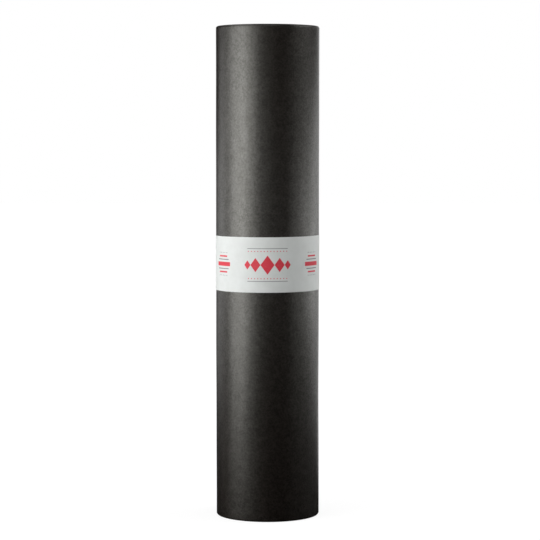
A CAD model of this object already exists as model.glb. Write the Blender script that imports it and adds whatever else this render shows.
"""A roll of asphalt-saturated roofing felt, standing on end, with a printed paper band round it.

Everything is in metres, +Z up, with the roll's axis on Z and its lower end on the floor at z = 0.
The front is -Y. The felt is modelled as what it is: one sheet, wound on itself from the bore out.
Each piece is modelled flat first, and is then wound onto the roll.
"""

import logging
import math
from collections.abc import Callable
from dataclasses import dataclass
from enum import Enum

import bpy
import numpy as np
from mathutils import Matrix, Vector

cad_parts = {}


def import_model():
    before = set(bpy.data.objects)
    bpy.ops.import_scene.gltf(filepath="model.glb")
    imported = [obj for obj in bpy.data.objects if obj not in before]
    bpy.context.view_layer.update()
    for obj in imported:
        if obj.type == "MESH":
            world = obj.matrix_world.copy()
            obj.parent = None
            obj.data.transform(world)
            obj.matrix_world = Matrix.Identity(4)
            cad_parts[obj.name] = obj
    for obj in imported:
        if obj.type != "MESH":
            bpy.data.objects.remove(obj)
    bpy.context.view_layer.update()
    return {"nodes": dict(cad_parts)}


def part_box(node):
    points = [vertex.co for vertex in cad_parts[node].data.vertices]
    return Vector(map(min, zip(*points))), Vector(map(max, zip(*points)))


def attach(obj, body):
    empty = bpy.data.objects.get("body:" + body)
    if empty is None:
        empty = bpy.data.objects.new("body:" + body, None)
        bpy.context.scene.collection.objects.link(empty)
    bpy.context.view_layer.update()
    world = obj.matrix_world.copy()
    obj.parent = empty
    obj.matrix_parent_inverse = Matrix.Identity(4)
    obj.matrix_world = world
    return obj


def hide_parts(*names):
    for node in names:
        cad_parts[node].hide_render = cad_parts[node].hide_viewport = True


LOG = logging.getLogger("felt_roll")
FULL_TURN = 2 * math.pi
MM = 0.001
WELD = 2e-6  # vertices nearer than this are one
CREASE_ANGLE = math.radians(50)  # edges that bend less than this are shaded smooth


class FeltSlot(Enum):
    """The felt's two finishes, by their material slots on a felt piece."""

    FACE = 0
    CUT_EDGE = 1


def smooth_step(value: np.ndarray) -> np.ndarray:
    """Returns 0 where value is below 0, 1 where it is above 1, and a soft S between."""
    share = np.clip(value, 0.0, 1.0)
    return share * share * (3 - 2 * share)


def angle_between(angle: np.ndarray, other: float) -> np.ndarray:
    """Returns how far angle lies past other, from half a turn back to half a turn on."""
    return (angle - other + math.pi) % FULL_TURN - math.pi


# ---- The winding: where each point of the sheet lies on the roll ----


@dataclass(frozen=True)
class SheetWave:
    """One sine along the wound sheet.

    Attributes:
        height: How high it is.
        length: Its length, in turns.
        phase: Its phase at the sheet's inner end.
    """

    height: float
    length: float
    phase: float

    def at(self, turn: np.ndarray) -> np.ndarray:
        """Returns the wave at a number of turns from the sheet's inner end."""
        return self.height * np.sin(FULL_TURN * turn / self.length + self.phase)


@dataclass(frozen=True)
class SurfaceWave:
    """One sine in a wound surface, round the roll and up it at once.

    Attributes:
        depth: How far it goes in and out.
        around: How many waves go round the roll.
        upward: How much its phase grows for each unit of height.
        phase: Its phase at +X on the floor.
    """

    depth: float
    around: float
    upward: float
    phase: float

    def at(self, angle: np.ndarray, height: np.ndarray) -> np.ndarray:
        """Returns how far out the wave is at an angle and a height."""
        return self.depth * np.sin(self.around * angle + self.upward * height + self.phase)


@dataclass(frozen=True)
class LooseTurn:
    """A stretch of the winding that stands off the turn inside it.

    Attributes:
        turn: Turns from the sheet's inner end to the middle of the stretch.
        spread: Half the stretch's length, in radians round the roll.
        gap: How far the turns are apart there.
    """

    turn: float
    spread: float
    gap: float

    def at(self, turn: np.ndarray) -> np.ndarray:
        """Returns the gap at a number of turns from the sheet's inner end."""
        return self.gap * np.exp(-((FULL_TURN * (turn - self.turn) / self.spread) ** 2))


@dataclass(frozen=True)
class Winding:
    """The spiral that the sheet is wound on, and what makes it less than perfect.

    A point's turn says how far out it lies, counted in turns from the bore. Along the sheet it
    also grows by one each time round.

    Attributes:
        sheet_width: The sheet's width, and so the roll's height.
        sheet_length: The sheet's length, from the bore to the tail.
        pitch: One turn's thickness, with the air in it.
        felt: The felt's own thickness.
        bore_radius: Radius of the open bore that the winding starts on.
        tail_angle: Where the sheet's outer end lies, anticlockwise from +X.
        rim: How far the outermost turn's edges are rubbed back, which rounds the roll's rim.
        rim_turns: Over how many turns the rim is rounded.
        oval: How far the bore is out of round.
        oval_angle: The bore's long way, anticlockwise from +X.
        oval_fade: The power by which the turns further out get rounder.
        dent: How far the wall is pressed in on its right side.
        dent_height: Height of the dent's middle.
        dent_reach: How far up and down the dent runs.
        waves: The waves that the outer turns are out of round by.
        slips: The waves that the turns' slips along the axis add up from.
        loose_turns: The gaps between turns.
        loose_reach: How far in and out a gap presses the turns together.
    """

    sheet_width: float = 914.4 * MM
    sheet_length: float = 43891 * MM
    pitch: float = 0.597 * MM
    felt: float = 0.52 * MM
    bore_radius: float = 31.75 * MM
    tail_angle: float = math.radians(100)
    rim: float = 3 * MM
    rim_turns: float = 5
    oval: float = 1.4 * MM
    oval_angle: float = math.radians(25)
    oval_fade: float = 1.5
    dent: float = 0.6 * MM
    dent_height: float = 220 * MM
    dent_reach: float = 130 * MM
    waves: tuple[SurfaceWave, ...] = (
        SurfaceWave(0.15 * MM, 3, 9, 0.6),
        SurfaceWave(0.11 * MM, 5, -14, 2.1),
        SurfaceWave(0.08 * MM, 2, 31, 4.0),
    )
    slips: tuple[SheetWave, ...] = (
        SheetWave(0.20 * MM, 31.0, 0.4),
        SheetWave(0.12 * MM, 9.7, 1.9),
        SheetWave(0.06 * MM, 3.3, 0.8),
        SheetWave(0.04 * MM, 1.21, 2.6),
    )
    loose_turns: tuple[LooseTurn, ...] = (
        LooseTurn(6.3, 1.5, 0.60 * MM),
        LooseTurn(19.8, 1.1, 0.40 * MM),
        LooseTurn(37.5, 1.7, 0.50 * MM),
        LooseTurn(57.1, 1.2, 0.38 * MM),
        LooseTurn(75.6, 1.6, 0.45 * MM),
        LooseTurn(91.9, 1.3, 0.35 * MM),
    )
    loose_reach: float = 5 * MM

    @property
    def roll_radius(self) -> float:
        """Returns the outer radius, from the area that the sheet's edge fills."""
        return math.sqrt(self.bore_radius**2 + self.sheet_length * self.pitch / math.pi)

    @property
    def sheet_turns(self) -> float:
        """Returns how many times the sheet goes round. Its last turn lies inside roll_radius."""
        return (self.roll_radius - self.bore_radius) / self.pitch - 1

    def angle_of(self, turn: np.ndarray) -> np.ndarray:
        """Returns the angle at a number of turns along the sheet from its inner end."""
        return self.tail_angle + FULL_TURN * (turn - self.sheet_turns)

    def slip(self, turn: np.ndarray) -> np.ndarray:
        """Returns how far up the axis a turn has slipped. None is below the floor."""
        lowest = -sum(wave.height for wave in self.slips)
        return sum(wave.at(turn) for wave in self.slips) - lowest

    def rubbed(self, turn: np.ndarray) -> np.ndarray:
        """Returns how far a turn's edges are rubbed back."""
        into_rim = np.clip(1 - (self.sheet_turns - turn) / self.rim_turns, 0.0, 1.0)
        return self.rim * into_rim**2

    def gap(self, turn: np.ndarray) -> np.ndarray:
        """Returns how wide the gap below a turn is."""
        return sum(loose.at(turn) for loose in self.loose_turns)

    def parting(self, turn: np.ndarray, angle: np.ndarray) -> np.ndarray:
        """Works out the room that the gaps between turns take.

        Args:
            turn: How far out each point lies, in turns.
            angle: Its angle, anticlockwise from +X.

        Returns:
            How far each point is pushed out, or in where it lies inside a gap.
        """
        pushed = np.zeros_like(turn)
        for loose in self.loose_turns:
            away = angle_between(angle, float(self.angle_of(loose.turn)))
            gap_turn = loose.turn + away / FULL_TURN
            beyond = self.pitch * (turn - gap_turn)
            fade = np.exp(-np.abs(beyond) / self.loose_reach)
            pushed += 0.5 * loose.at(gap_turn) * np.sign(np.round(beyond / WELD)) * fade
        return pushed

    def strain(self, radius: np.ndarray, angle: np.ndarray, height: np.ndarray) -> np.ndarray:
        """Works out how the roll is out of round.

        Args:
            radius: Each point's distance from the axis on a round roll.
            angle: Its angle, anticlockwise from +X.
            height: Its height above the floor.

        Returns:
            How far each point is pushed out.
        """
        wall = self.roll_radius - self.bore_radius
        inward = np.clip((self.roll_radius - radius) / wall, 0.0, 1.0)
        oval = self.oval * np.cos(2 * (angle - self.oval_angle)) * inward**self.oval_fade
        soft = np.exp(-0.5 * ((height - self.dent_height) / self.dent_reach) ** 2)
        dent = self.dent * soft * np.clip(np.cos(angle), 0.0, 1.0) ** 2
        waves = sum(wave.at(angle, height) for wave in self.waves)
        return oval + (1 - inward) ** 2 * (waves - dent)

    def place(self, turn: np.ndarray, angle: np.ndarray, height: np.ndarray) -> np.ndarray:
        """Winds points onto the roll.

        Args:
            turn: How far out each point lies, in turns.
            angle: Its angle, anticlockwise from +X.
            height: Its height above the floor.

        Returns:
            The points' places, one row each.
        """
        radius = self.bore_radius + self.pitch * turn + self.parting(turn, angle)
        radius = radius + self.strain(radius, angle, height)
        return np.stack([radius * np.cos(angle), radius * np.sin(angle), height], axis=1)


# ---- The workbench: one piece's mesh in hand at a time ----


class Workbench:
    """A piece that is being modelled with Blender's own tools."""

    def __init__(self, name: str, columns: int, rows: int) -> None:
        """Starts the piece as a flat unit grid in the XY plane, from the origin to (1, 1).

        Args:
            name: The finished piece's name.
            columns: Faces along X.
            rows: Faces along Y.
        """
        bpy.ops.object.select_all(action="DESELECT")
        bpy.ops.mesh.primitive_grid_add(
            x_subdivisions=columns,
            y_subdivisions=rows,
            size=1,
            calc_uvs=True,
            location=(0.5, 0.5, 0),
        )
        bpy.ops.object.transform_apply()
        self.piece = bpy.context.object
        self.piece.name = name
        self.piece.data.name = name

    def places(self) -> np.ndarray:
        """Reads the piece's shape.

        Returns:
            The places of its vertices, one row each.
        """
        found = np.empty(len(self.piece.data.vertices) * 3, np.float32)
        self.piece.data.vertices.foreach_get("co", found)
        return found.reshape(-1, 3).astype(float)

    def put(self, places: np.ndarray) -> None:
        """Moves the piece's vertices to the given places."""
        self.piece.data.vertices.foreach_set("co", places.astype(np.float32).ravel())
        self.piece.data.update()

    def select(self, chosen: np.ndarray) -> None:
        """Selects the chosen vertices, with the edges and faces that they enclose.

        Args:
            chosen: For each vertex, whether it is chosen.
        """
        mesh = self.piece.data
        mesh.vertices.foreach_set("select", chosen)
        ends = np.empty(len(mesh.edges) * 2, np.int32)
        mesh.edges.foreach_get("vertices", ends)
        mesh.edges.foreach_set("select", chosen[ends.reshape(-1, 2)].all(axis=1))
        mesh.polygons.foreach_set("select", [chosen[list(f.vertices)].all() for f in mesh.polygons])

    def select_all(self) -> None:
        """Selects the whole piece."""
        self.select(np.ones(len(self.piece.data.vertices), bool))

    def edit(self, operator: Callable, *, mode: str = "VERT", **options: object) -> None:
        """Runs one of Blender's edit-mode tools on what is selected.

        Args:
            operator: The tool, from bpy.ops.
            mode: Whether it works on vertices, edges or faces.
            options: The tool's own settings.
        """
        bpy.ops.object.mode_set(mode="EDIT")
        bpy.ops.mesh.select_mode(type=mode)
        operator(**options)
        bpy.ops.object.mode_set(mode="OBJECT")

    def modify(self, kind: str, **settings: object) -> None:
        """Adds a modifier and applies it.

        Args:
            kind: The modifier's type.
            settings: Its own settings.
        """
        modifier = self.piece.modifiers.new(kind.lower(), kind)
        for name, value in settings.items():
            setattr(modifier, name, value)
        bpy.ops.object.modifier_apply(modifier=modifier.name)

    def map_flat(self, length: float, height: float) -> None:
        """Maps the piece while it is flat, with U along X and V up Z.

        Args:
            length: The X at which U is 1.
            height: The Z at which V is 1.
        """
        mesh = self.piece.data
        corners = np.empty(len(mesh.loops), np.int32)
        mesh.loops.foreach_get("vertex_index", corners)
        flat = self.places()[corners][:, [0, 2]] / (length, height)
        mesh.uv_layers.active.data.foreach_set("uv", flat.astype(np.float32).ravel())

    def close(self) -> bpy.types.Object:
        """Welds the mesh, closes its seams, turns its faces outwards and shades it.

        Returns:
            The finished piece.
        """
        self.select_all()
        self.edit(bpy.ops.mesh.remove_doubles, threshold=WELD)
        self.select_all()
        self.edit(bpy.ops.mesh.fill_holes, sides=4)
        self.select_all()
        self.edit(bpy.ops.mesh.normals_make_consistent, mode="FACE", inside=False)
        bpy.ops.object.shade_smooth_by_angle(angle=CREASE_ANGLE)
        return self.piece


# ---- The felt ----


# One turn's edge in section: half a groove, the flat crest and half the next groove.
EDGE_ROWS = 3
# How near a flat place has to be to a whole turn to lie on it.
NEAR_TURN = 0.05


@dataclass
class WoundBody:
    """The wound sheet between its two loose ends, with the edges of its turns on both ends.

    It is modelled flat with X as radians round the roll, Y as turns and Z as height.

    Attributes:
        winding: The roll's winding.
        first_turn: Turns from the sheet's inner end to where the body starts.
        turns: How many turns it has.
        facets: Faces once round the roll.
        crest: How much of a turn's thickness its flat edge takes.
        groove: How deep the grooves between the turns' edges are.
        gap_depth: How much deeper a groove is for each width of a gap.
        wall_cuts: How often the bore's wall is cut across.
    """

    winding: Winding
    first_turn: float = 0.6
    turns: int = 106
    facets: int = 112
    crest: float = 0.6
    groove: float = 0.45 * MM
    gap_depth: float = 5
    wall_cuts: int = 14

    def build(self) -> bpy.types.Object:
        """Builds the body.

        Returns:
            The body, with no finish yet.
        """
        bench = Workbench("felt_body", self.facets, EDGE_ROWS)
        self._shape_one_edge(bench)
        self._lay_all_edges(bench)
        self._close_walls(bench)
        self._close_steps(bench)
        self._wind(bench)
        return bench.close()

    def _shape_one_edge(self, bench: Workbench) -> None:
        """Makes the grid the upper edge of one turn: a flat crest between two half grooves.

        Args:
            bench: The body in hand.
        """
        on_crest = np.abs(bench.places()[:, 1] - 0.5) < 1 / EDGE_ROWS
        widen = (1, self.crest * EDGE_ROWS, 1)
        bench.select_all()
        bench.edit(bpy.ops.transform.resize, value=(FULL_TURN, 1, 1), center_override=(0, 0, 0))
        bench.edit(bpy.ops.transform.translate, value=(0, 0, self.winding.sheet_width))
        bench.select(on_crest)
        bench.edit(bpy.ops.transform.resize, value=widen, center_override=(0, 0.5, 0))
        bench.select(~on_crest)
        bench.edit(bpy.ops.transform.translate, value=(0, 0, -self.groove))

    def _lay_all_edges(self, bench: Workbench) -> None:
        """Repeats the edge for every turn, and mirrors them all to the lower end.

        Args:
            bench: The body in hand.
        """
        bench.modify(
            "ARRAY",
            count=self.turns,
            use_relative_offset=False,
            use_constant_offset=True,
            constant_offset_displace=(0, 1, 0),
            use_merge_vertices=True,
            merge_threshold=0.01,
        )
        bench.select_all()
        bench.edit(bpy.ops.mesh.duplicate)
        middle = (0, 0, self.winding.sheet_width / 2)
        bench.edit(bpy.ops.transform.resize, value=(1, 1, -1), center_override=middle)

    def _close_walls(self, bench: Workbench) -> None:
        """Joins the two ends by the bore's wall and by the wall that the last turn lies on.

        Args:
            bench: The body in hand.
        """
        for wall in (0, self.turns):
            bench.select(np.isclose(bench.places()[:, 1], wall))
            bench.edit(bpy.ops.mesh.bridge_edge_loops, mode="EDGE", number_cuts=self.wall_cuts)

    def _close_steps(self, bench: Workbench) -> None:
        """Adds the steps where the body starts and where it stops.

        Args:
            bench: The body in hand.
        """
        for side, wall, thickness in ((0.0, 0, 1), (FULL_TURN, self.turns, -1)):
            flat = bench.places()
            bench.select(np.isclose(flat[:, 0], side, atol=1e-5) & np.isclose(flat[:, 1], wall))
            move = {"value": (0, thickness, 0)}
            bench.edit(bpy.ops.mesh.extrude_edges_move, mode="EDGE", TRANSFORM_OT_translate=move)

    def _wind(self, bench: Workbench) -> None:
        """Winds the flat body up. Its columns go round the roll, each further out than the last.

        Args:
            bench: The body in hand.
        """
        winding = self.winding
        across, outwards, height = bench.places().T
        middle = winding.sheet_width / 2
        along = across / FULL_TURN + self.first_turn
        whole_turn = np.floor(outwards + NEAR_TURN)
        in_groove = np.abs(outwards - whole_turn) < NEAR_TURN
        edge_turn = whole_turn + along
        upper = height > middle
        facing = np.where(upper, 1.0, -1.0)
        crest = winding.slip(edge_turn) - facing * winding.rubbed(edge_turn)
        inner_crest = winding.slip(edge_turn - 1) - facing * winding.rubbed(edge_turn - 1)
        groove = np.where(upper, np.minimum(crest, inner_crest), np.maximum(crest, inner_crest))
        groove = groove - facing * self.gap_depth * winding.gap(edge_turn)
        on_end = np.abs(height - middle) > middle - 2 * self.groove
        height = height + np.where(on_end, np.where(in_groove, groove, crest), 0.0)
        bench.put(winding.place(outwards + along, winding.angle_of(along), height))


@dataclass
class SheetStrip:
    """A stretch of sheet that is modelled flat at its real size, and is then wound on.

    It lies flat with X along it, Y out through it and Z up it.

    Attributes:
        name: The piece's name.
        length: Along the roll's turns.
        height: Across them.
        thickness: Through the sheet.
        columns: Faces along it.
        rows: Faces across it.
        edge_crowding: How far the rows crowd towards both edges, from 0 to 1.
        edge_bevel: How far the cut edges are rounded.
    """

    name: str
    length: float
    height: float
    thickness: float
    columns: int
    rows: int
    edge_crowding: float
    edge_bevel: float = 0.12 * MM

    def lay_flat(self) -> Workbench:
        """Models the strip flat, with its thickness, its rounded edges and its UV map.

        Returns:
            The workbench with the strip in hand.
        """
        bench = Workbench(self.name, self.columns, self.rows)
        flat = bench.places()
        share = flat[:, 1]
        crowded = share - self.edge_crowding * np.sin(FULL_TURN * share) / FULL_TURN
        along = flat[:, 0] * self.length
        bench.put(np.stack([along, np.zeros(len(flat)), crowded * self.height], axis=1))
        bench.modify("SOLIDIFY", thickness=self.thickness, offset=-1)
        bench.modify("BEVEL", width=self.edge_bevel, segments=2, limit_method="ANGLE")
        bench.map_flat(self.length, self.height)
        return bench


@dataclass
class OuterTurns:
    """The last turns of the sheet, over the wound body, down to the tail.

    Attributes:
        winding: The roll's winding.
        first_turn: Where along the sheet they start.
        band_middle: Height of the paper band's middle, which holds the tail down.
        facets: Faces once round the roll.
        rows: Faces up the roll.
        edge_crowding: How far the rows crowd towards the sheet's edges.
        tail_lift: How far the tail stands off the roll at its corners.
        lift_turns: Over how much of a turn it rises.
        held: How far above and below the band's middle the tail is held down.
        lift_reach: How much further it is to where the tail stands off in full.
        fray: How far the edges' wear goes up and down.
        fray_waves: The waves that the wear adds up from, as shares of the fray.
    """

    winding: Winding
    first_turn: float
    band_middle: float
    facets: int = 112
    rows: int = 42
    edge_crowding: float = 0.92
    tail_lift: float = 2.4 * MM
    lift_turns: float = 0.11
    held: float = 66.5 * MM
    lift_reach: float = 190 * MM
    fray: float = 0.12 * MM
    fray_waves: tuple[SheetWave, ...] = (SheetWave(0.5, 1 / 17, 1.0), SheetWave(0.5, 1 / 41, 2.2))

    def build(self) -> bpy.types.Object:
        """Builds the outer turns.

        Returns:
            The outer turns, with no finish yet.
        """
        winding = self.winding
        turns = winding.sheet_turns - self.first_turn
        round_roll = FULL_TURN * winding.roll_radius
        strip = SheetStrip(
            name="felt_outer_turns",
            length=turns * round_roll,
            height=winding.sheet_width,
            thickness=winding.felt,
            columns=round(turns * self.facets),
            rows=self.rows,
            edge_crowding=self.edge_crowding,
        )
        bench = strip.lay_flat()
        length, depth, height = bench.places().T
        along = self.first_turn + length / round_roll
        air = winding.pitch - winding.felt
        turn = along + (depth + air + self._lift(along, height)) / winding.pitch
        bench.put(winding.place(turn, winding.angle_of(along), self._height(along, height)))
        return bench.close()

    def _lift(self, along: np.ndarray, height: np.ndarray) -> np.ndarray:
        """Works out how far the sheet stands off the roll near its tail.

        Args:
            along: Turns from the sheet's inner end to each point.
            height: The point's height on the flat sheet.

        Returns:
            Each point's distance from where it would lie on the roll.
        """
        near_tail = np.clip(1 - (self.winding.sheet_turns - along) / self.lift_turns, 0.0, 1.0)
        past_held = (np.abs(height - self.band_middle) - self.held) / self.lift_reach
        return self.tail_lift * near_tail**2 * smooth_step(past_held)

    def _height(self, along: np.ndarray, height: np.ndarray) -> np.ndarray:
        """Works out where points of the sheet lie between its rubbed, worn and slipped edges.

        Args:
            along: Turns from the sheet's inner end to each point.
            height: The point's height on the flat sheet.

        Returns:
            Each point's height above the floor.
        """
        width = self.winding.sheet_width
        wear = self.fray * (1 + sum(wave.at(along) for wave in self.fray_waves))
        rubbed = self.winding.rubbed(along) + wear
        return self.winding.slip(along) + rubbed + height * (width - 2 * rubbed) / width


@dataclass
class InnerEnd:
    """The sheet's loose inner end, which curls into the open bore.

    Attributes:
        winding: The roll's winding.
        turns: How much of a turn it is long.
        columns: Faces along it.
        rows: Faces up it.
        edge_crowding: How far the rows crowd towards the sheet's edges.
        curl: How far its end stands into the bore.
        curl_fade: The power by which it straightens away from its end.
        waver: The share of the curl that comes and goes up the bore.
        waver_rate: How fast it does, in radians to the metre.
    """

    winding: Winding
    turns: float
    columns: int = 60
    rows: int = 24
    edge_crowding: float = 0.5
    curl: float = 7 * MM
    curl_fade: float = 1.6
    waver: float = 0.2
    waver_rate: float = 5

    def build(self) -> bpy.types.Object:
        """Builds the inner end.

        Returns:
            The inner end, with no finish yet.
        """
        winding = self.winding
        round_bore = FULL_TURN * winding.bore_radius
        strip = SheetStrip(
            name="felt_inner_end",
            length=self.turns * round_bore,
            height=winding.sheet_width,
            thickness=winding.felt,
            columns=self.columns,
            rows=self.rows,
            edge_crowding=self.edge_crowding,
        )
        bench = strip.lay_flat()
        length, depth, height = bench.places().T
        along = length / round_bore
        loose = np.clip(1 - along / self.turns, 0.0, 1.0)
        waver = 1 - self.waver + self.waver * np.cos(self.waver_rate * height)
        turn = along + (depth - self.curl * loose**self.curl_fade * waver) / winding.pitch
        bench.put(winding.place(turn, winding.angle_of(along), height + winding.slip(along)))
        return bench.close()


@dataclass
class FeltRoll:
    """The whole roll of felt: its body, its outer turns and its inner end, as one piece.

    Attributes:
        winding: The roll's winding.
        band_middle: Height of the paper band's middle.
        inner_end_turns: How much of a turn hangs loose in the bore.
        face_lean: How squarely a face has to look in or out to be one of the sheet's faces.
    """

    winding: Winding
    band_middle: float
    inner_end_turns: float = 0.55
    face_lean: float = 0.6

    def build(self) -> bpy.types.Object:
        """Builds the roll of felt.

        Returns:
            The roll as one piece, with no finish yet.
        """
        body = WoundBody(self.winding, first_turn=self.inner_end_turns)
        outer_start = self.inner_end_turns + body.turns
        pieces = [
            body.build(),
            OuterTurns(self.winding, outer_start, self.band_middle).build(),
            InnerEnd(self.winding, self.inner_end_turns).build(),
        ]
        bpy.ops.object.select_all(action="DESELECT")
        for piece in pieces:
            piece.select_set(True)
        bpy.context.view_layer.objects.active = pieces[0]
        bpy.ops.object.join()
        pieces[0].name = "wound_felt"
        return pieces[0]

    def dress(self, piece: bpy.types.Object, finishes: dict[FeltSlot, bpy.types.Material]) -> None:
        """Gives the roll its finishes: one on the sheet's faces and one on its cut edges.

        Args:
            piece: The roll of felt.
            finishes: The material for each slot.
        """
        for slot in FeltSlot:
            piece.data.materials.append(finishes[slot])
        slots = []
        for face in piece.data.polygons:
            outward = face.center.copy()
            outward.z = 0
            looks_out = abs(face.normal.dot(outward.normalized())) > self.face_lean
            slots.append((FeltSlot.FACE if looks_out else FeltSlot.CUT_EDGE).value)
        piece.data.polygons.foreach_set("material_index", slots)


# ---- The paper band ----


@dataclass
class PaperBand:
    """The printed paper band, wound once round the roll and glued to itself at the back.

    Attributes:
        winding: The roll's winding.
        bottom: Height of the band's lower edge.
        top: Height of its upper edge.
        paper: The paper's thickness.
        clearance: From the felt to the paper.
        lap: How far the band's ends overlap.
        lap_ramp: Over how much paper the outer layer climbs over the inner end.
        lap_rise: How much further out the outer layer lies, in thicknesses of paper.
        free_edge_angle: Where the outer layer ends, anticlockwise from +X.
        slack: How far the paper stands off here and there.
        lift: How far it stands off everywhere, in slacks.
        cockles: The waves that it stands off by, in slacks.
        edge_curl: How far its edges stand off, in slacks.
        edge_curl_fade: The power by which they lie down again away from the edge.
        edge_curl_wave: Where round the roll they do.
        corner_curl: How far its free corners stand off, in slacks.
        corner_fade: The power by which they lie down away from the edge.
        corner_reach: How far from the free end they start to.
        edge_drift: The wave by which the band runs off level.
        facets: Faces once round the roll.
        rows: Faces across the band.
        edge_crowding: How far the rows crowd towards the band's edges.
        edge_bevel: How far the paper's cut edges are rounded.
    """

    winding: Winding
    bottom: float
    top: float
    paper: float = 0.2 * MM
    clearance: float = 0.25 * MM
    lap: float = 38 * MM
    lap_ramp: float = 4 * MM
    lap_rise: float = 1.15
    free_edge_angle: float = math.radians(140)
    slack: float = 0.09 * MM
    lift: float = 0.5
    cockles: tuple[SurfaceWave, ...] = (
        SurfaceWave(0.25, 4, 5, 0.0),
        SurfaceWave(0.15, 9, -7, 1.0),
        SurfaceWave(0.1, 17, 3, 2.0),
    )
    edge_curl: float = 0.8
    edge_curl_fade: float = 6
    edge_curl_wave: SurfaceWave = SurfaceWave(1.0, 6, 0, 0.5)
    corner_curl: float = 3.5
    corner_fade: float = 3
    corner_reach: float = 12 * MM
    edge_drift: SurfaceWave = SurfaceWave(0.5 * MM, 1, 0, 0.7)
    facets: int = 240
    rows: int = 24
    edge_crowding: float = 0.6
    edge_bevel: float = 0.04 * MM

    @property
    def radius(self) -> float:
        """Returns the radius of the paper's inner face where it leaves the sheet's tail."""
        return self.winding.roll_radius + self.clearance

    @property
    def length(self) -> float:
        """Returns the paper's length, with its lap."""
        return FULL_TURN * self.radius + self.lap

    def build(self) -> bpy.types.Object:
        """Builds the band.

        Returns:
            The band, with no finish yet.
        """
        strip = SheetStrip(
            name="printed_band",
            length=self.length,
            height=self.top - self.bottom,
            thickness=self.paper,
            columns=round(self.facets * self.length / (FULL_TURN * self.radius)),
            rows=self.rows,
            edge_crowding=self.edge_crowding,
            edge_bevel=self.edge_bevel,
        )
        bench = strip.lay_flat()
        along, depth, up = bench.places().T
        angle = self.free_edge_angle + (along - self.length) / self.radius
        layer = smooth_step((along - (self.length - self.lap - self.lap_ramp)) / self.lap_ramp)
        radius = self._lying_radius(angle) + depth
        radius = radius + self.lap_rise * self.paper * layer + self._stand_off(along, up, angle)
        turn = (radius - self.winding.bore_radius) / self.winding.pitch
        height = self.bottom + up + self.edge_drift.at(angle, up)
        bench.put(self.winding.place(turn, angle, height))
        return bench.close()

    def dress(self, piece: bpy.types.Object, paper: bpy.types.Material) -> None:
        """Gives the band its printed paper."""
        piece.data.materials.append(paper)

    def _lying_radius(self, angle: np.ndarray) -> np.ndarray:
        """Works out where the paper lies. Past the sheet's tail it runs straight to the next turn.

        Args:
            angle: Each point's angle, anticlockwise from +X.

        Returns:
            The radius of the paper's inner face there.
        """
        past_tail = (angle - self.winding.tail_angle) % FULL_TURN
        below_tail = self.radius - self.winding.pitch
        landing = math.acos(below_tail / self.radius)
        bridge = below_tail / np.cos(np.maximum(landing - past_tail, 0.0))
        wound = below_tail + self.winding.pitch * past_tail / FULL_TURN
        return np.maximum(wound, bridge)

    def _stand_off(self, along: np.ndarray, height: np.ndarray, angle: np.ndarray) -> np.ndarray:
        """Works out how far the paper stands off, by its cockles, its edges and its free corners.

        Args:
            along: Each point's distance from the band's inner end.
            height: Its height above the band's lower edge.
            angle: Its angle, anticlockwise from +X.

        Returns:
            How far it stands off from where it would lie tight.
        """
        up = height / (self.top - self.bottom)
        cockle = sum(wave.at(angle, up) for wave in self.cockles)
        near_edge = np.abs(2 * up - 1)
        edge = self.edge_curl * near_edge**self.edge_curl_fade
        curl = edge * (1 + self.edge_curl_wave.at(angle, up))
        near_free_end = np.clip(1 - (self.length - along) / self.corner_reach, 0.0, 1.0)
        corner = self.corner_curl * near_free_end**2 * near_edge**self.corner_fade
        return self.slack * (self.lift + cockle + curl + corner)


# ---- Shading tools ----

Colour = tuple[float, float, float, float]
Span = tuple[float, float]
Socket = bpy.types.NodeSocket
# A Mix node keeps its numbers and its colours in sockets of their own, which share their names.
MIX_NUMBERS = (2, 3)
MIX_COLOURS = (6, 7)
MIX_COLOUR_RESULT = 2


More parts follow.
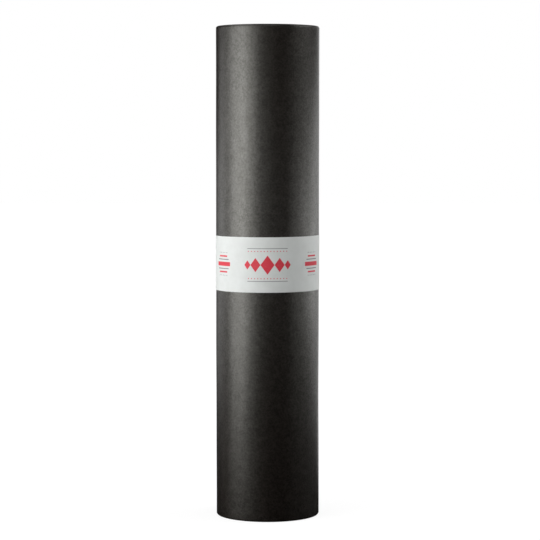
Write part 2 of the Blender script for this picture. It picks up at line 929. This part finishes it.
class NodeDrawing:
    """A shader node tree that is being drawn."""

    def __init__(self, tree: bpy.types.ShaderNodeTree) -> None:
        """Takes a tree in hand and empties it."""
        self.tree = tree
        self.tree.nodes.clear()

    def add(self, kind: str, inputs: dict | None = None, **settings: object) -> bpy.types.Node:
        """Adds a node.

        Args:
            kind: The node's type. A shader node's goes without ShaderNode, as in Math.
            inputs: Input names or numbers, each with a value or with the socket that feeds it.
            settings: The node's own settings.

        Returns:
            The node.
        """
        node = self.tree.nodes.new(kind if kind.startswith("Node") else "ShaderNode" + kind)
        for name, value in settings.items():
            setattr(node, name, value)
        for key, value in (inputs or {}).items():
            if isinstance(value, Socket):
                self.tree.links.new(value, node.inputs[key])
            else:
                node.inputs[key].default_value = value
        return node

    def math(self, operation: str, *values: Socket | float) -> Socket:
        """Adds a sum and returns its result."""
        return self.add("Math", dict(enumerate(values)), operation=operation).outputs[0]

    def vector(self, operation: str, *values: Socket | tuple) -> bpy.types.NodeOutputs:
        """Adds a sum of vectors and returns its outputs: a vector and a number."""
        return self.add("VectorMath", dict(enumerate(values)), operation=operation).outputs

    def remap(self, value: Socket, new: Span, old: Span = (0.0, 1.0)) -> Socket:
        """Returns a value taken from its old range to a new one, and held inside it."""
        inputs = {"Value": value, 1: old[0], 2: old[1], 3: new[0], 4: new[1]}
        return self.add("MapRange", inputs).outputs["Result"]

    def blend(self, share: Socket, first: Socket | Colour, second: Socket | Colour) -> Socket:
        """Returns the colour that lies a share of the way from the first to the second."""
        inputs = {0: share, **dict(zip(MIX_COLOURS, (first, second)))}
        return self.add("Mix", inputs, data_type="RGBA").outputs[MIX_COLOUR_RESULT]

    def noise(self, place: Socket, scale: Socket, detail: float, roughness: float = 0.5) -> Socket:
        """Returns smooth noise around 0.5, with a scale in waves to the metre."""
        inputs = {"Vector": place, "Scale": scale, "Detail": detail, "Roughness": roughness}
        return self.add("TexNoise", inputs).outputs[0]

    def end_surface(self, inputs: dict, raised: Socket, relief: float) -> None:
        """Ends a material in its shader.

        Args:
            inputs: The shader's inputs, as for add, without its normal.
            raised: How high each spot of the surface stands, in reliefs.
            relief: How high one of them is.
        """
        bump = self.add("Bump", {"Height": raised, "Distance": relief, "Strength": 1.0})
        shader = self.add("BsdfPrincipled", {**inputs, "Normal": bump.outputs[0]})
        self.add("OutputMaterial", {"Surface": shader.outputs[0]})


def ray_kinds(draw: NodeDrawing) -> tuple[Socket, Socket]:
    """Tells rays apart in a material or in the world, with a 1 for yes.

    Args:
        draw: The tree that is being drawn.

    Returns:
        Whether a ray is the camera's own, and whether it shows what gloss or glass mirrors.
    """
    path = draw.add("LightPath").outputs
    mirrored = draw.math("MAXIMUM", path["Is Glossy Ray"], path["Is Transmission Ray"])
    return path["Is Camera Ray"], mirrored


def start_material(name: str) -> tuple[bpy.types.Material, NodeDrawing]:
    """Starts a material.

    Args:
        name: Its name.

    Returns:
        The material, and its empty node tree in hand.
    """
    material = bpy.data.materials.new(name)
    material.use_nodes = True
    return material, NodeDrawing(material.node_tree)


class SharedEffect:
    """A shader node group that several finishes use, with named inputs and outputs."""

    def __init__(self, name: str, inputs: dict[str, float], outputs: tuple[str, ...]) -> None:
        """Starts the group.

        Args:
            name: The group's name.
            inputs: The names of its inputs, each with its usual value.
            outputs: The names of its outputs, which are all numbers.
        """
        self.group = bpy.data.node_groups.new(name, "ShaderNodeTree")
        self.draw = NodeDrawing(self.group)
        number = {"socket_type": "NodeSocketFloat"}
        for label, usual in inputs.items():
            socket = self.group.interface.new_socket(label, in_out="INPUT", **number)
            socket.default_value = usual
        for label in outputs:
            self.group.interface.new_socket(label, in_out="OUTPUT", **number)
        self.given = self.draw.add("NodeGroupInput").outputs
        self.ends = self.draw.add("NodeGroupOutput").inputs

    def give(self, label: str, socket: Socket) -> None:
        """Feeds one of the group's outputs."""
        self.group.links.new(socket, self.ends[label])


# The levels of the noise that the clouds and the grain run between, and how much of it is a fibre.
CLOUD_LEVELS = (0.28, 0.72)
GRAIN_LEVELS = (0.3, 0.7)
FIBRE_WIDTH = 0.09


def fibre_mat_effect() -> bpy.types.ShaderNodeTree:
    """Builds the look that felt and paper share: clouds, fine grain and short fibres.

    Returns:
        The group. Its Clouds, Grain and Fibres each run from 0 to 1.
    """
    effect = SharedEffect(
        "fibre_mat",
        {"Cloud Scale": 80.0, "Grain Scale": 600.0, "Fibre Scale": 350.0, "Fibre Bend": 0.006},
        ("Clouds", "Grain", "Fibres"),
    )
    draw, given = effect.draw, effect.given
    place = draw.add("TexCoord").outputs["Object"]
    clouds = draw.noise(place, given["Cloud Scale"], detail=3.0, roughness=0.55)
    grain = draw.noise(place, given["Grain Scale"], detail=3.0, roughness=0.65)
    sway = draw.add("TexNoise", {"Vector": place, "Scale": given["Cloud Scale"]}).outputs[1]
    shift = draw.add("VectorMath", {0: sway, "Scale": given["Fibre Bend"]}, operation="SCALE")
    bent = draw.vector("ADD", place, shift.outputs[0])[0]
    fibres = draw.noise(bent, given["Fibre Scale"], detail=1.0)
    from_ridge = draw.math("ABSOLUTE", draw.math("SUBTRACT", fibres, 0.5))
    effect.give("Clouds", draw.remap(clouds, (0.0, 1.0), old=CLOUD_LEVELS))
    effect.give("Grain", draw.remap(grain, (0.0, 1.0), old=GRAIN_LEVELS))
    effect.give("Fibres", draw.remap(from_ridge, (1.0, 0.0), old=(0.0, FIBRE_WIDTH)))
    return effect.group


def ink_shape_effect() -> bpy.types.ShaderNodeTree:
    """Builds one printed shape: a rhombus, or a bar where Square is 1.

    Returns:
        The group. Its Ink is 1 inside the shape and 0 outside, with a narrow soft edge.
    """
    place = {"Across": 0.0, "Up": 0.0}
    middle = {"Centre Across": 0.0, "Centre Up": 0.0}
    size = {"Half Width": 10 * MM, "Half Height": 10 * MM}
    kind = {"Square": 0.0, "Spread": 0.4 * MM}
    effect = SharedEffect("ink_shape", place | middle | size | kind, ("Ink",))
    draw, given = effect.draw, effect.given
    reaches, shares = [], []
    for here, centre, half in zip(place, middle, size):
        away = draw.math("ABSOLUTE", draw.math("SUBTRACT", given[here], given[centre]))
        reaches.append(draw.math("SUBTRACT", given[half], away))
        shares.append(draw.math("DIVIDE", away, given[half]))
    narrower = draw.math("MINIMUM", given["Half Width"], given["Half Height"])
    rhombus = draw.math("MULTIPLY", draw.math("SUBTRACT", 1.0, draw.math("ADD", *shares)), narrower)
    shapes = dict(zip(MIX_NUMBERS, (rhombus, draw.math("MINIMUM", *reaches))))
    depth = draw.add("Mix", {0: given["Square"], **shapes}, data_type="FLOAT").outputs[0]
    edge = draw.math("DIVIDE", depth, given["Spread"])
    effect.give("Ink", draw.remap(edge, (0.0, 1.0), old=(-0.5, 0.5)))
    return effect.group


# ---- Finishes ----


@dataclass(frozen=True)
class FibreMat:
    """The values that one finish gives to the shared look of a mat of fibre.

    Attributes:
        cloud_scale: Clouds to the metre, or nearly.
        grain_scale: Grains to the metre.
        fibre_scale: Fibres to the metre.
    """

    cloud_scale: float
    grain_scale: float
    fibre_scale: float

    def place(self, draw: NodeDrawing, effect: bpy.types.ShaderNodeTree) -> bpy.types.NodeOutputs:
        """Places the shared look in a material.

        Args:
            draw: The material's node tree.
            effect: The shared look.

        Returns:
            Its outputs: Clouds, Grain and Fibres.
        """
        scales = {
            "Cloud Scale": self.cloud_scale,
            "Grain Scale": self.grain_scale,
            "Fibre Scale": self.fibre_scale,
        }
        return draw.add("Group", scales, node_tree=effect).outputs


@dataclass(frozen=True)
class FeltFace:
    """Asphalt-saturated felt: a brown-black mat of fibre with a satin film on what stands up.

    Attributes:
        dark: The colour of the mat's hollows.
        light: The colour of the fibre that stands up.
        specular: The mat's gloss.
        sheen: That gloss's colour.
        roughness: How rough the hollows are, and how rough the raised fibre is.
        film: How much glossy film lies in the hollows and on the raised fibre.
        film_roughness: The film's roughness.
        relief: The height of the felt's grain.
        fibre_relief: How high the fibres stand beside that.
        shares: How much the grain, the clouds and the fibres count in where the mat stands up.
        levels: The levels of that mixture that are taken as a hollow and as raised fibre.
        mat: The scales of the clouds, the grain and the fibres.
    """

    dark: Colour = (0.0020, 0.0009, 0.0005, 1)
    light: Colour = (0.0080, 0.0036, 0.0020, 1)
    specular: float = 0.58
    sheen: Colour = (0.985, 0.98, 0.88, 1)
    roughness: Span = (0.31, 0.44)
    film: Span = (0.0, 1.0)
    film_roughness: float = 0.32
    relief: float = 0.1 * MM
    fibre_relief: float = 0.35
    shares: tuple[float, float, float] = (0.6, 0.25, 0.15)
    levels: Span = (0.19, 0.81)
    mat: FibreMat = FibreMat(cloud_scale=75, grain_scale=290, fibre_scale=850)

    def build(self, effect: bpy.types.ShaderNodeTree) -> bpy.types.Material:
        """Builds the material.

        Args:
            effect: The shared look of a mat of fibre.

        Returns:
            The material.
        """
        material, draw = start_material("saturated_felt")
        mat = self.mat.place(draw, effect)
        mixture = 0.0
        for name, share in zip(("Grain", "Clouds", "Fibres"), self.shares):
            mixture = draw.math("MULTIPLY_ADD", mat[name], share, mixture)
        stands_up = draw.remap(mixture, (0.0, 1.0), old=self.levels)
        look = {
            "Base Color": draw.blend(stands_up, self.dark, self.light),
            "Roughness": draw.remap(stands_up, self.roughness),
            "Specular IOR Level": self.specular,
            "Specular Tint": self.sheen,
            "Coat Weight": draw.remap(stands_up, self.film),
            "Coat Roughness": self.film_roughness,
        }
        raised = draw.math("MULTIPLY_ADD", mat["Fibres"], self.fibre_relief, mat["Grain"])
        draw.end_surface(look, raised, self.relief)
        return material


@dataclass(frozen=True)
class FeltCutEdge:
    """The felt's cut edge: lighter and rougher than its face, with torn fibres.

    Attributes:
        dark: Its colour between the fibres.
        light: The torn fibres' colour.
        torn_share: How much the torn fibres count in that, and the rest is grain.
        specular: Its gloss.
        roughness: How rough it is between the grains and on them.
        relief: The height of its grain, and of its fibres.
        mat: The scales of its clouds, grain and fibres.
    """

    dark: Colour = (0.034, 0.031, 0.0275, 1)
    light: Colour = (0.122, 0.111, 0.097, 1)
    torn_share: float = 0.6
    specular: float = 0.2
    roughness: Span = (0.9, 0.7)
    relief: float = 0.08 * MM
    mat: FibreMat = FibreMat(cloud_scale=140, grain_scale=1500, fibre_scale=700)

    def build(self, effect: bpy.types.ShaderNodeTree) -> bpy.types.Material:
        """Builds the material.

        Args:
            effect: The shared look of a mat of fibre.

        Returns:
            The material.
        """
        material, draw = start_material("felt_cut_edge")
        mat = self.mat.place(draw, effect)
        torn = draw.math("MULTIPLY", mat["Fibres"], mat["Clouds"])
        grain = draw.math("MULTIPLY", mat["Grain"], 1 - self.torn_share)
        tone = draw.math("MULTIPLY_ADD", torn, self.torn_share, grain)
        look = {
            "Base Color": draw.blend(tone, self.dark, self.light),
            "Roughness": draw.remap(mat["Grain"], self.roughness),
            "Specular IOR Level": self.specular,
        }
        draw.end_surface(look, draw.math("ADD", mat["Grain"], mat["Fibres"]), self.relief)
        return material


class Ink(Enum):
    """The band's printing inks."""

    RED = (0.70, 0.016, 0.042, 1)
    GREY = (0.17, 0.16, 0.17, 1)


@dataclass(frozen=True)
class InkShape:
    """One printed shape, which is mirrored about the motif's middle both ways.

    Attributes:
        ink: Its ink.
        across: Its middle's distance along the band from the motif's middle.
        up: Its middle's distance above the band's middle.
        half_width: Half its size along the band.
        half_height: Half its size across the band.
        bar: Whether it is a bar. Otherwise it is a rhombus.
    """

    ink: Ink
    across: float
    up: float
    half_width: float
    half_height: float
    bar: bool = True

    def place(
        self, draw: NodeDrawing, effect: bpy.types.ShaderNodeTree, spot: dict[str, Socket]
    ) -> Socket:
        """Places the shape in a material.

        Args:
            draw: The material's node tree.
            effect: The shared printed shape.
            spot: The sockets that say how far Across and Up a point of the motif is.

        Returns:
            The socket that is 1 where the shape is printed.
        """
        inputs = {
            **spot,
            "Centre Across": self.across,
            "Centre Up": self.up,
            "Half Width": self.half_width,
            "Half Height": self.half_height,
            "Square": float(self.bar),
        }
        return draw.add("Group", inputs, node_tree=effect).outputs[0]


def pip_row(ink: Ink, first: float, last: float, up: float) -> tuple[InkShape, ...]:
    """Lays out a row of small printed pips.

    Args:
        ink: Their ink.
        first: The first pip's distance along the band from the motif's middle.
        last: The same for the last pip.
        up: Their distance above the band's middle.

    Returns:
        The pips.
    """
    spacing, half = 6 * MM, 1.2 * MM
    places = [first + i * spacing for i in range(round((last - first) / spacing) + 1)]
    return tuple(InkShape(ink, place, up, half, half, bar=False) for place in places)


@dataclass(frozen=True)
class BandPrint:
    """The band's print: rows of rhombi with blocks of bars between, and pips above and below.

    Attributes:
        period: From the middle of one row of rhombi to the next.
        shift: From the band's inner end to the middle of its first row of rhombi.
        shapes: What is printed on half a period.
    """

    period: float = 196 * MM
    shift: float = 62 * MM
    shapes: tuple[InkShape, ...] = (
        InkShape(Ink.RED, 0.0, 0.0, 13 * MM, 17.5 * MM, bar=False),
        InkShape(Ink.RED, 22.5 * MM, 0.0, 9.5 * MM, 13 * MM, bar=False),
        InkShape(Ink.RED, 38 * MM, 0.0, 6 * MM, 8.5 * MM, bar=False),
        *pip_row(Ink.RED, 0.0, 36 * MM, 25 * MM),
        InkShape(Ink.GREY, 0.0, 30 * MM, 38 * MM, 0.5 * MM),
        InkShape(Ink.RED, 98 * MM, 0.0, 21 * MM, 3.8 * MM),
        InkShape(Ink.GREY, 98 * MM, 8.5 * MM, 17 * MM, 0.8 * MM),
        InkShape(Ink.RED, 98 * MM, 14.5 * MM, 13 * MM, 1.4 * MM),
        *pip_row(Ink.GREY, 86 * MM, 98 * MM, 21 * MM),
    )

    def build(
        self, draw: NodeDrawing, effect: bpy.types.ShaderNodeTree, length: float, height: float
    ) -> dict[Ink, Socket]:
        """Draws the print in a material.

        Args:
            draw: The material's node tree.
            effect: The shared printed shape.
            length: The band's length.
            height: The band's height.

        Returns:
            Each ink, with the socket that is 1 where it is printed.
        """
        u, v, _ = draw.add("SeparateXYZ", {0: draw.add("UVMap", uv_map="UVMap").outputs[0]}).outputs
        along = draw.math("SUBTRACT", draw.math("MULTIPLY", u, length), self.shift)
        from_middle = draw.math("ABSOLUTE", draw.math("SUBTRACT", v, 0.5))
        spot = {
            "Across": draw.math("PINGPONG", along, self.period / 2),
            "Up": draw.math("MULTIPLY", from_middle, height),
        }
        printed = {}
        for shape in self.shapes:
            inked = shape.place(draw, effect, spot)
            known = printed.get(shape.ink)
            printed[shape.ink] = draw.math("MAXIMUM", known, inked) if known else inked
        return printed


@dataclass(frozen=True)
class PrintedPaper:
    """White machine-finished paper, printed in two inks.

    Attributes:
        length: The band's length, over which U runs from 0 to 1.
        height: The band's height, over which V does.
        artwork: What is printed on it.
        cover: How well the ink covers the paper where it is starved, and where it is full.
        bright: The paper's colour.
        dull: Its colour in the clouds of its pulp.
        specular: Its gloss.
        roughness: How rough it is between the grains and on them.
        relief: The height of its grain.
        fibre_relief: How high its fibres stand beside that.
        mat: The scales of its clouds, grain and fibres.
    """

    length: float
    height: float
    artwork: BandPrint = BandPrint()
    cover: Span = (0.92, 0.99)
    bright: Colour = (0.745, 0.768, 0.755, 1)
    dull: Colour = (0.695, 0.717, 0.70, 1)
    specular: float = 0.35
    roughness: Span = (0.5, 0.68)
    relief: float = 0.015 * MM
    fibre_relief: float = 0.5
    mat: FibreMat = FibreMat(cloud_scale=60, grain_scale=900, fibre_scale=420)

    def build(
        self, effect: bpy.types.ShaderNodeTree, ink_shape: bpy.types.ShaderNodeTree
    ) -> bpy.types.Material:
        """Builds the material.

        Args:
            effect: The shared look of a mat of fibre.
            ink_shape: The shared printed shape.

        Returns:
            The material.
        """
        material, draw = start_material("printed_paper")
        mat = self.mat.place(draw, effect)
        colour = draw.blend(mat["Clouds"], self.dull, self.bright)
        cover = draw.remap(mat["Grain"], self.cover)
        for ink, printed in self.artwork.build(draw, ink_shape, self.length, self.height).items():
            colour = draw.blend(draw.math("MULTIPLY", printed, cover), colour, ink.value)
        look = {
            "Base Color": colour,
            "Roughness": draw.remap(mat["Grain"], self.roughness),
            "Specular IOR Level": self.specular,
        }
        fibres = draw.math("MULTIPLY", mat["Fibres"], self.fibre_relief)
        draw.end_surface(look, draw.math("ADD", mat["Grain"], fibres), self.relief)
        return material


# ---- The studio ----


def soft_light(name: str, width: float, depth: float, power: float) -> bpy.types.Object:
    """Adds a flat soft light at the origin, which shines down.

    Args:
        name: Its name.
        width: Its size along X.
        depth: Its size along Y.
        power: Its power in watts.

    Returns:
        The light.
    """
    lamp = bpy.data.lights.new(name, "AREA")
    lamp.shape = "RECTANGLE"
    lamp.size, lamp.size_y = width, depth
    lamp.energy = power
    light = bpy.data.objects.new(name, lamp)
    bpy.context.scene.collection.objects.link(light)
    return light


@dataclass(frozen=True)
class SoftBox:
    """A soft light that stands upright and looks at the roll's axis.

    Attributes:
        name: The light's name.
        azimuth: Where it stands, in degrees anticlockwise from the front, seen from above.
        width: Its size across.
        low: Height of its lower edge.
        high: Height of its upper edge.
        power: Its power in watts.
        distance: From the roll's axis.
    """

    name: str
    azimuth: float
    width: float
    low: float
    high: float
    power: float
    distance: float = 1.5

    def build(self) -> None:
        """Sets the light up."""
        light = soft_light(self.name, self.width, self.high - self.low, self.power)
        turned = math.radians(self.azimuth)
        across, back = self.distance * math.sin(turned), -self.distance * math.cos(turned)
        light.location = (across, back, (self.low + self.high) / 2)
        light.rotation_euler = (math.pi / 2, 0, turned)


@dataclass(frozen=True)
class OverheadBox:
    """A square soft light above the roll, for its upper end.

    Attributes:
        size: Its side.
        height: Its height above the floor.
        power: Its power in watts.
    """

    size: float = 1.2
    height: float = 2.6
    power: float = 18

    def build(self) -> None:
        """Sets the light up."""
        light = soft_light("overhead_softbox", self.size, self.size, self.power)
        light.location = (0, 0, self.height)


@dataclass(frozen=True)
class StudioCamera:
    """The camera, in front of the roll and a little below its upper end.

    Attributes:
        place: Where it stands.
        tilt: How far down it looks, in degrees.
        lens: Its focal length, in millimetres.
        sensor: Its sensor's width, in millimetres.
    """

    place: tuple[float, float, float] = (0.0046, -3.916, 0.699)
    tilt: float = 3.484
    lens: float = 139.43
    sensor: float = 36

    def build(self) -> None:
        """Sets the camera up as the scene's own."""
        lens = bpy.data.cameras.new("studio_camera")
        lens.sensor_width = self.sensor
        lens.lens = self.lens
        camera = bpy.data.objects.new("studio_camera", lens)
        camera.location = self.place
        camera.rotation_euler = (math.radians(90 - self.tilt), 0, 0)
        bpy.context.scene.collection.objects.link(camera)
        bpy.context.scene.camera = camera


@dataclass(frozen=True)
class Studio:
    """The floor, the white cove behind the roll, the lights and the camera.

    Attributes:
        lights: The upright soft lights.
        overhead: The soft light above.
        camera: The camera.
        ambient: How bright the surroundings are as a light, where 1 is white.
        cove_azimuth: The middle of the white cove that gloss shows, as for SoftBox.
        cove_edge: How far off that middle it turns dark, and how far off it is white, in degrees.
        floor_size: The floor's side.
        floor_paint: The floor's grey to look at.
        floor_bounce: How much light it throws back on the roll.
        glow_near: What is added to the floor's look beside the roll, which leaves a shadow there.
        glow_far: What is added far from the roll, so that the floor meets the white background.
        glow_reach: Where the first ends and the second starts, from the roll's axis.
    """

    lights: tuple[SoftBox, ...] = (
        # name, azimuth, width, low, high, power
        SoftBox("key_core", -67, 1.08, 0.07, 1.1, 13),
        SoftBox("key_spread", -91, 2.47, 0.3, 1.03, 5.2),
        SoftBox("key_front", -43, 0.85, 0.3, 1.28, 6.8),
        SoftBox("left_rim", -125, 1.3, 0.05, 0.68, 1.3),
        SoftBox("right_spread", 108, 1.75, 0.3, 0.75, 1.9),
        SoftBox("right_rim", 127, 0.75, 0.02, 0.86, 1.2),
        SoftBox("right_low", 109, 0.92, 0.3, 0.45, 1.0),
        SoftBox("right_front", 74, 1.34, 0.36, 0.54, 1.7),
        SoftBox("front_fill", -16, 1.1, 0.42, 0.77, 1.1),
        SoftBox("front_low", 21, 0.84, 0.38, 0.58, 0.35),
        SoftBox("right_high", 96, 1.35, 1.42, 2.32, 26),
        SoftBox("front_high", 0, 1.1, 1.43, 2.54, 4.5),
    )
    overhead: OverheadBox = OverheadBox()
    camera: StudioCamera = StudioCamera()
    ambient: float = 0.22
    cove_azimuth: float = 166
    cove_edge: Span = (22, 4)
    floor_size: float = 40.0
    floor_paint: float = 0.2
    floor_bounce: float = 0.01
    glow_near: float = 0.84
    glow_far: float = 0.98
    glow_reach: Span = (0.5, 2.2)

    def build(self) -> None:
        """Sets up the whole studio."""
        self._lay_floor()
        self._surround()
        for item in (*self.lights, self.overhead, self.camera):
            item.build()

    def _background_share(self, draw: NodeDrawing, outwards: Socket) -> Socket:
        """Picks out the rays that show the white background, and leaves those that carry light.

        Args:
            draw: The tree that is being drawn.
            outwards: The direction from the roll's axis. Gloss shows only what is in the cove.

        Returns:
            The socket that is 1 where a ray shows the background.
        """
        seen, mirrored = ray_kinds(draw)
        level = draw.vector("NORMALIZE", draw.vector("MULTIPLY", outwards, (1, 1, 0))[0])[0]
        middle = math.radians(self.cove_azimuth)
        facing = (math.sin(middle), -math.cos(middle), 0)
        towards = draw.vector("DOT_PRODUCT", level, facing)[1]
        reach = tuple(math.cos(math.radians(angle)) for angle in self.cove_edge)
        in_cove = draw.remap(towards, (0.0, 1.0), old=reach)
        return draw.math("MAXIMUM", seen, draw.math("MULTIPLY", mirrored, in_cove))

    def _lay_floor(self) -> None:
        """Lays a pale floor that takes the roll's soft shadow."""
        bpy.ops.object.select_all(action="DESELECT")
        bpy.ops.mesh.primitive_plane_add(size=self.floor_size)
        floor = bpy.context.object
        floor.name = "studio_floor"
        material, draw = start_material("studio_floor")
        place = draw.add("TexCoord").outputs["Object"]
        away = draw.vector("LENGTH", place)[1]
        glow = draw.remap(away, (self.glow_near, self.glow_far), old=self.glow_reach)
        glow = draw.math("MULTIPLY", glow, self._background_share(draw, place))
        seen, _ = ray_kinds(draw)
        paint = draw.remap(seen, (self.floor_bounce, self.floor_paint))
        paint = draw.add("BsdfDiffuse", {"Color": paint})
        white = draw.add("Emission", {"Strength": glow})
        both = draw.add("AddShader", {0: paint.outputs[0], 1: white.outputs[0]})
        draw.add("OutputMaterial", {"Surface": both.outputs[0]})
        floor.data.materials.append(material)

    def _surround(self) -> None:
        """Makes the surroundings white to look at, and dimmer as a light."""
        world = bpy.data.worlds.new("studio_white")
        world.use_nodes = True
        draw = NodeDrawing(world.node_tree)
        shown = self._background_share(draw, draw.add("TexCoord").outputs["Generated"])
        _, mirrored = ray_kinds(draw)
        strength = draw.math("MAXIMUM", shown, draw.remap(mirrored, (self.ambient, 0.0)))
        white = draw.add("Background", {"Color": (1, 1, 1, 1), "Strength": strength})
        draw.add("OutputWorld", {"Surface": white.outputs[0]})
        bpy.context.scene.world = world


def main() -> None:
    """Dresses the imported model: the felt, the band and the studio round them."""
    logging.basicConfig(level=logging.INFO, format="%(name)s: %(message)s")
    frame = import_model()
    LOG.info("Dressing the nodes %s", sorted(frame["nodes"]))
    bpy.context.scene.view_settings.view_transform = "Standard"
    Studio().build()

    winding = Winding()
    band_low, band_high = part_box("paper_band")
    band = PaperBand(winding, bottom=band_low[2], top=band_high[2])
    effect = fibre_mat_effect()
    ink_shape = ink_shape_effect()

    roll = FeltRoll(winding, band_middle=(band_low[2] + band_high[2]) / 2)
    felt = roll.build()
    face, cut_edge = FeltFace().build(effect), FeltCutEdge().build(effect)
    roll.dress(felt, {FeltSlot.FACE: face, FeltSlot.CUT_EDGE: cut_edge})
    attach(felt, "root")
    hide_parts("felt_roll")
    LOG.info("%s: %d faces", felt.name, len(felt.data.polygons))

    wrap = band.build()
    paper = PrintedPaper(band.length, band.top - band.bottom)
    band.dress(wrap, paper.build(effect, ink_shape))
    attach(wrap, "root")
    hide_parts("paper_band")
    LOG.info("%s: %d faces", wrap.name, len(wrap.data.polygons))


if __name__ == "__main__":
    main()
